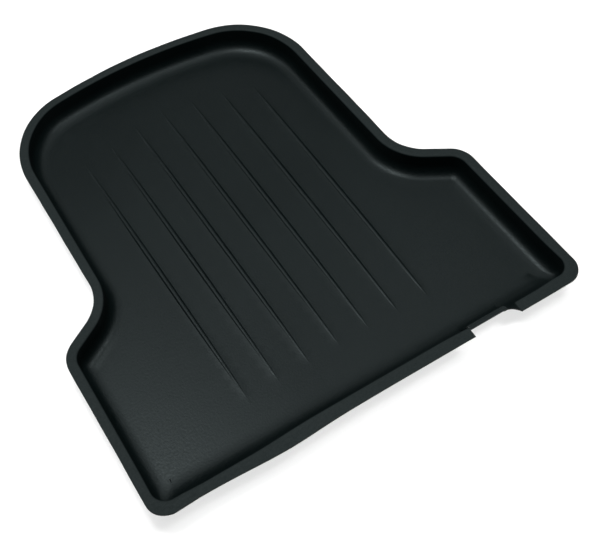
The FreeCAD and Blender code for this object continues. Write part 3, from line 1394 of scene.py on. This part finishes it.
    def floor_points(self, ring: list[Vector]) -> tuple[list[Vector], list[tuple[int, int]]]:
        """Spreads points over the floor.

        Args:
            ring: the floor's edge.

        Returns:
            Points inside it and the lines between them, by number, that the mesh keeps.
        """
        inside = PolygonTest(ring, self.floor_margin)
        points, lines = [], []
        for line in self.ribs.lines():
            start = len(points)
            points += line
            lines += [(start + step, start + step + 1) for step in range(len(line) - 1)]
        x_low, x_high = min(p.x for p in ring), max(p.x for p in ring)
        y_low, y_high = min(p.y for p in ring), max(p.y for p in ring)
        middles = self.ribs.middles()
        ribs_begin = self.ribs.span(0)[0] - self.grid / 2
        for column in range(int((x_high - x_low) / self.grid) + 1):
            for row in range(int((y_high - y_low) / self.grid) + 1):
                place = Vector((x_low + (column + 0.5 * (row % 2)) * self.grid, y_low + row * self.grid))
                nearest = min(abs(place.x - middle) for middle in middles)
                clear = nearest > self.ribs.width * self.rib_margin or place.y < ribs_begin
                if inside.holds(place) and clear:
                    points.append(place)
        return points, lines

    def add_floor(self, mesh: bmesh.types.BMesh, edge: list[bmesh.types.BMVert], face: Face) -> None:
        """Fills the floor inside its edge, with the ribs pressed into it.

        Args:
            mesh: the tray's mesh.
            edge: the innermost ring of the face.
            face: which face it is.
        """
        ring = [Vector((vert.co.x, vert.co.y)) for vert in edge]
        inner, lines = self.floor_points(ring)
        count = len(ring)
        border = [(index, (index + 1) % count) for index in range(count)]
        kept = [(a + count, b + count) for a, b in lines]
        spots, _, triangles, origins = delaunay_2d_cdt(
            ring + inner, border + kept, [list(range(count))], self.INSIDE_ONLY, self.weld)[:4]
        level = edge[0].co.z
        verts = []
        for spot, origin in zip(spots, origins):
            own = [index for index in origin if index < count]
            if own:
                verts.append(edge[own[0]])
            else:
                verts.append(mesh.verts.new((spot.x, spot.y, level + self.ribs.rise(spot.x, spot.y))))
        for corners in triangles:
            loop = [verts[index] for index in corners]
            mesh.faces.new(loop if face is Face.UPPER else loop[::-1])

    def build(self) -> bpy.types.Object:
        """Builds the tray as one closed mesh.

        Returns:
            The tray.
        """
        mesh = bmesh.new()
        edges = {}
        for face in Face:
            rings = [[mesh.verts.new(point) for point in ring] for ring in self.rings(face)]
            edges[face] = rings[0]
            bridge(mesh, rings, face is Face.LOWER)
            self.add_floor(mesh, rings[-1], face)
        for made in bridge(mesh, [edges[Face.LOWER], edges[Face.UPPER]], False):
            made.material_index = self.CUT_FINISH
        bmesh.ops.recalc_face_normals(mesh, faces=mesh.faces)
        return shown("liner_tray_sheet", mesh, self.crease)

    def dress(self, piece: bpy.types.Object) -> None:
        """Gives the tray its two finishes and its place in the frame.

        Args:
            piece: the built tray.
        """
        piece.data.materials.append(FormedPlastic().material(self.section.top))
        piece.data.materials.append(CutEdge().material())
        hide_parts("liner_tray")
        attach(piece, "root")


# ---- grip pads ------------------------------------------------------------------------------
@dataclass(frozen=True)
class GripPad:
    """A rubber pad with rounded corners, an eased edge and small studs on the side that grips."""

    node: str
    corner: float = 8.0 * MM
    corner_steps: int = 8
    ease: float = 0.5 * MM
    ease_share: float = 0.3                 # where the middle point of an eased edge lies
    crease: float = math.radians(50)
    stud_pitch: float = 6.0 * MM
    stud_row: float = 0.87                  # distance between the rows, in pitches
    stud_margin: float = 4.0 * MM
    stud_radius: float = 1.9 * MM
    stud_height: float = 0.6 * MM
    stud_root: float = 0.2 * MM             # how far a stud reaches into the pad
    stud_shoulder: float = 0.75             # share of its height at which its tip is eased
    stud_waist: float = 0.86                # width at that height, in widths of its root
    stud_tip: float = 0.66                  # and at its tip
    stud_sides: int = 10

    def outline(self, half_x: float, half_y: float, inset: float) -> list[Vector]:
        """The rounded rectangle round the origin.

        Args:
            half_x: half of its width.
            half_y: half of its length.
            inset: distance in from its edge.

        Returns:
            Its points, once round.
        """
        radius = self.corner - inset
        found = []
        for turn, (sx, sy) in enumerate(((1, 1), (-1, 1), (-1, -1), (1, -1))):
            centre = Vector((sx * (half_x - self.corner), sy * (half_y - self.corner)))
            for step in range(self.corner_steps + 1):
                angle = (turn + step / self.corner_steps) * math.pi / 2
                found.append(centre + Vector((math.cos(angle), math.sin(angle))) * radius)
        return found

    def build(self) -> bpy.types.Object:
        """Builds the pad where its node of the frame is.

        Returns:
            The pad.
        """
        low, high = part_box(self.node)
        centre, half = (low + high) / 2, (high - low) / 2
        mesh = bmesh.new()
        face_height = low.z + self.stud_height
        eased = self.ease_share * self.ease
        levels = [(self.ease, high.z), (eased / 2, high.z - eased), (0.0, high.z - self.ease),
                  (0.0, face_height + self.ease), (eased, face_height + eased),
                  (self.ease, face_height)]
        rings = []
        for inset, height in levels:
            rings.append([mesh.verts.new((centre.x + p.x, centre.y + p.y, height))
                          for p in self.outline(half.x, half.y, inset)])
        self.close(mesh, rings)
        self.add_studs(mesh, centre, half, face_height, low.z)
        bmesh.ops.recalc_face_normals(mesh, faces=mesh.faces)
        return shown(self.node + "_rubber", mesh, self.crease)

    def close(self, mesh: bmesh.types.BMesh, rings: list[list[bmesh.types.BMVert]]) -> None:
        """Makes a closed body from rings, the highest first.

        Args:
            mesh: the pad's mesh.
            rings: the body's rings of corners.
        """
        bridge(mesh, rings, True)
        mesh.faces.new(rings[0])
        mesh.faces.new(rings[-1][::-1])

    def add_studs(self, mesh: bmesh.types.BMesh, centre: Vector, half: Vector,
                  base: float, tip: float) -> None:
        """Rows of low round studs, every other row shifted by half a pitch.

        Args:
            mesh: the pad's mesh.
            centre: middle of the pad.
            half: half of its sides.
            base: height of the face that they stand on.
            tip: height of their tips.
        """
        row_pitch = self.stud_pitch * self.stud_row
        rows = int((half.y - self.stud_margin) / row_pitch)
        for row in range(-rows, rows + 1):
            shift = 0.5 * (row % 2)
            columns = int((half.x - self.stud_margin) / self.stud_pitch - shift)
            for column in range(-columns - (row % 2), columns + 1):
                x = centre.x + (column + shift) * self.stud_pitch
                self.add_stud(mesh, x, centre.y + row * row_pitch, base, tip)

    def add_stud(self, mesh: bmesh.types.BMesh, x: float, y: float, base: float, tip: float) -> None:
        """One stud: a short cone frustum with an eased tip, rooted in the pad.

        Args:
            mesh: the pad's mesh.
            x: place of its axis.
            y: the same.
            base: height of the face that it stands on.
            tip: height of its tip.
        """
        levels = ((1.0, base + self.stud_root), (self.stud_waist, mix(base, tip, self.stud_shoulder)),
                  (self.stud_tip, tip))
        turns = [math.tau * side / self.stud_sides for side in range(self.stud_sides)]
        rings = []
        for share, height in levels:
            radius = self.stud_radius * share
            rings.append([mesh.verts.new((x + radius * math.cos(turn), y + radius * math.sin(turn), height))
                          for turn in turns])
        self.close(mesh, rings)

    def dress(self, piece: bpy.types.Object, rubber: bpy.types.Material) -> None:
        """Gives the pad its finish and its place in the frame.

        Args:
            piece: the built pad.
            rubber: the finish of all pads.
        """
        piece.data.materials.append(rubber)
        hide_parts(self.node)
        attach(piece, "root")


# ---- studio ---------------------------------------------------------------------------------
@dataclass(frozen=True)
class Softbox:
    """A square soft lamp on a dome over the tray, turned towards its middle."""

    name: str
    azimuth: float                          # degrees from the X axis towards the Y axis
    elevation: float                        # degrees above the floor
    side: float
    radiance: float
    distance: float = 2.8
    paper_only: bool = False                # lights only the paper, and the tray doesn't block it

    def place(self) -> Vector:
        """Works out where the lamp hangs.

        Returns:
            The place of its middle.
        """
        turn, climb = math.radians(self.azimuth), math.radians(self.elevation)
        level = self.distance * math.cos(climb)
        return Vector((level * math.cos(turn), level * math.sin(turn), self.distance * math.sin(climb)))

    def build(self, paper: bpy.types.Collection) -> bpy.types.Object:
        """Hangs the lamp.

        Args:
            paper: the collection that a paper-only lamp lights.

        Returns:
            The lamp.
        """
        data = bpy.data.lights.new(self.name, "AREA")
        data.shape = "SQUARE"
        data.size = self.side
        data.energy = self.radiance * math.pi * self.side ** 2
        lamp = in_scene(self.name, data)
        lamp.location = self.place()
        lamp.rotation_mode = "QUATERNION"
        lamp.rotation_quaternion = self.place().to_track_quat("Z", "Y")
        if self.paper_only:
            lamp.light_linking.receiver_collection = paper
            lamp.light_linking.blocker_collection = paper
        return lamp


@dataclass(frozen=True)
class Studio:
    """Pale floor, soft lamps and the camera."""

    air: tuple[float, float, float, float] = (1.0, 1.0, 1.0, 1.0)
    air_strength: float = 0.0               # the lamps alone give the light
    floor_side: float = 16.0
    floor_cells: int = 8
    lens: float = 71.76
    sensor: float = 36.0
    camera_place: tuple[float, float, float] = (-0.7198, -1.3472, 2.0804)
    camera_forward: tuple[float, float, float] = (0.3000, 0.4723, -0.8288)
    camera_right: tuple[float, float, float] = (0.8422, -0.5392, -0.0024)
    lamps: tuple[Softbox, ...] = (
        Softbox("overhead_softbox", azimuth=150, elevation=78, side=0.62, radiance=19.0),
        Softbox("front_right_softbox", azimuth=-30, elevation=60, side=0.80, radiance=5.5),
        Softbox("back_left_softbox", azimuth=120, elevation=45, side=0.62, radiance=3.0),
        Softbox("right_panel", azimuth=32, elevation=56, side=0.62, radiance=2.1),
        Softbox("back_panel", azimuth=76, elevation=56, side=0.62, radiance=1.5),
        Softbox("low_panel", azimuth=60, elevation=30, side=1.00, radiance=0.5),
        Softbox("paper_lamp", azimuth=0, elevation=90, side=5.0, radiance=3.0, distance=4.0,
                paper_only=True),
    )

    def build_floor(self) -> bpy.types.Object:
        """Lays the paper under the tray.

        Returns:
            The paper.
        """
        mesh = bmesh.new()
        bmesh.ops.create_grid(mesh, x_segments=self.floor_cells, y_segments=self.floor_cells,
                              size=self.floor_side / 2)
        floor = shown("studio_floor", mesh)
        floor.data.materials.append(StudioPaper().material())
        return floor

    def build_world(self) -> None:
        """Dark air all round, and colours shown as they are lit."""
        world = bpy.data.worlds.new("studio_air")
        world.use_nodes = True
        background = world.node_tree.nodes["Background"]
        background.inputs["Color"].default_value = self.air
        background.inputs["Strength"].default_value = self.air_strength
        bpy.context.scene.world = world
        bpy.context.scene.view_settings.view_transform = "Standard"

    def build_camera(self) -> bpy.types.Object:
        """Sets up the camera, high in front and to the left of the tray.

        Returns:
            The camera.
        """
        data = bpy.data.cameras.new("camera")
        data.lens = self.lens
        data.sensor_width = self.sensor
        camera = in_scene("camera", data)
        back = -Vector(self.camera_forward).normalized()
        right = Vector(self.camera_right)
        right = (right - back * right.dot(back)).normalized()
        turn = Matrix((right, back.cross(right), back)).transposed()
        camera.matrix_world = Matrix.Translation(self.camera_place) @ turn.to_4x4()
        bpy.context.scene.camera = camera
        return camera

    def build(self) -> None:
        """Sets up everything round the tray."""
        floor = self.build_floor()
        paper = bpy.data.collections.new("studio_paper")
        paper.objects.link(floor)
        self.build_world()
        for lamp in self.lamps:
            lamp.build(paper)
        self.build_camera()


def main() -> None:
    """Builds the tray, its pads and the studio, and logs their face counts."""
    logging.basicConfig(level=logging.INFO, format="%(name)s: %(message)s")
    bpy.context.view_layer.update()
    tray = LinerTray()
    sheet = tray.build()
    tray.dress(sheet)
    log.info("%s: %d faces", sheet.name, len(sheet.data.polygons))
    rubber = PadRubber().material()
    for node in PAD_NODES:
        pad = GripPad(node)
        piece = pad.build()
        pad.dress(piece, rubber)
        log.info("%s: %d faces", piece.name, len(piece.data.polygons))
    Studio().build()
    log.info("studio: floor, %d lamps and camera", len(Studio.lamps))


if __name__ == "__main__":
    main()
